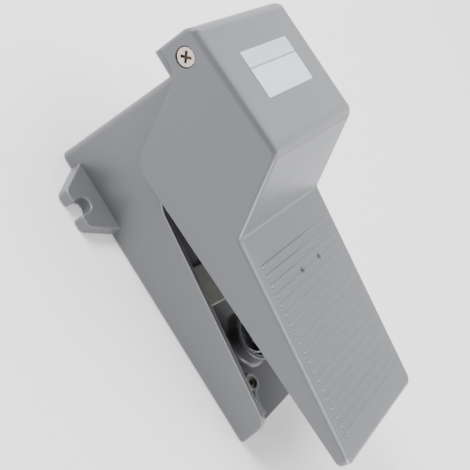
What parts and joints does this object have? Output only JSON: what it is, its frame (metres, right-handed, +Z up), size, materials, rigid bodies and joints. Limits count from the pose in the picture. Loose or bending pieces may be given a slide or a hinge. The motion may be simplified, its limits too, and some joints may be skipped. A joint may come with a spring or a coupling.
{
  "type": "foot pedal air valve",
  "caption": "Foot-operated air valve: a cast hump-backed pedal hinged over a cast base with a floor ear on each side, upright spool valve with rear ports, return spring and lock block.",
  "frame": {"origin": "middle of the part's outline seen from above, on the floor plane under the base", "axes": "+Z up; +Y to the rear, away from the user's foot, where the ports are; +X to the user's right"},
  "size_m": [0.1358, 0.2342, 0.119],
  "materials": {
    "pedal_casting": "satin, fine blasted cast surface",
    "base_casting": "satin, fine blasted cast surface",
    "valve_body": "machined and blasted",
    "valve_covers": "satin die cast",
    "gaskets": "matte",
    "spool": "ground",
    "seals": "matte",
    "push_button": "turned",
    "spring_wire": "drawn wire",
    "pedal_spring": "black oxide spring wire",
    "black_screws": "black oxide",
    "pivot_screws": "nickel plated",
    "zinc_steel": "zinc plated",
    "lock_block": "moulded, beige",
    "dark_steel": "black oxide",
    "brass_bushes": "turned, dull",
    "label_plate": "brushed film, bare"
  },
  "bodies": {
    "base_unit": {"base": "base_casting", "valve_body": "valve_body", "valve_top_cover": "valve_covers", "valve_bottom_cover": "valve_covers", "top_gasket": "gaskets", "bottom_gasket": "gaskets", "stem_seal": "seals", "spool_spring": "spring_wire", "cover_screws": "black_screws", "valve_mounting_screws": "black_screws", "lock_block": "lock_block", "lock_block_screws": "black_screws", "pivot_screw_left": "pivot_screws", "pivot_screw_right": "pivot_screws", "pedal_spring": "pedal_spring", "front_bushes": "brass_bushes"},
    "pedal_unit": {"pedal": "pedal_casting", "label_plate": "label_plate", "press_screw": "zinc_steel", "press_nut": "zinc_steel", "lock_bracket": "dark_steel", "bracket_rivets": "zinc_steel", "link_hinge_pin": "zinc_steel"},
    "spool_unit": {"spool": "spool", "spool_seals": "seals", "push_button": "push_button"},
    "link_unit": {"follower_link": "dark_steel", "follower_pin": "zinc_steel"}
  },
  "joints": [
    {"name": "pedal_hinge", "type": "hinge", "parent": "base_unit", "child": "pedal_unit", "pos_m": [0, 0.1055, 0.1023], "axis": [1, 0, 0], "range_deg": [0, 10], "stiffness_Nm_per_rad": 25.6, "springref_deg": -9.74, "deforming": ["pedal_spring"]},
    {"name": "spool_slide", "type": "slide", "parent": "base_unit", "child": "spool_unit", "axis": [0, 0, -1], "range_m": [0, 0.0044], "deforming": ["spool_spring"]},
    {"name": "link_hinge", "type": "hinge", "parent": "pedal_unit", "child": "link_unit", "pos_m": [0.0231, -0.00189, 0.05977], "axis": [1, 0, 0], "range_deg": [-27, 1]}
  ],
  "couplings": [
    {"joint": "spool_slide", "follows": "pedal_hinge", "m_per_rad": 0.025},
    {"joint": "link_hinge", "follows": "pedal_hinge", "ratio": -2.6}
  ]
}
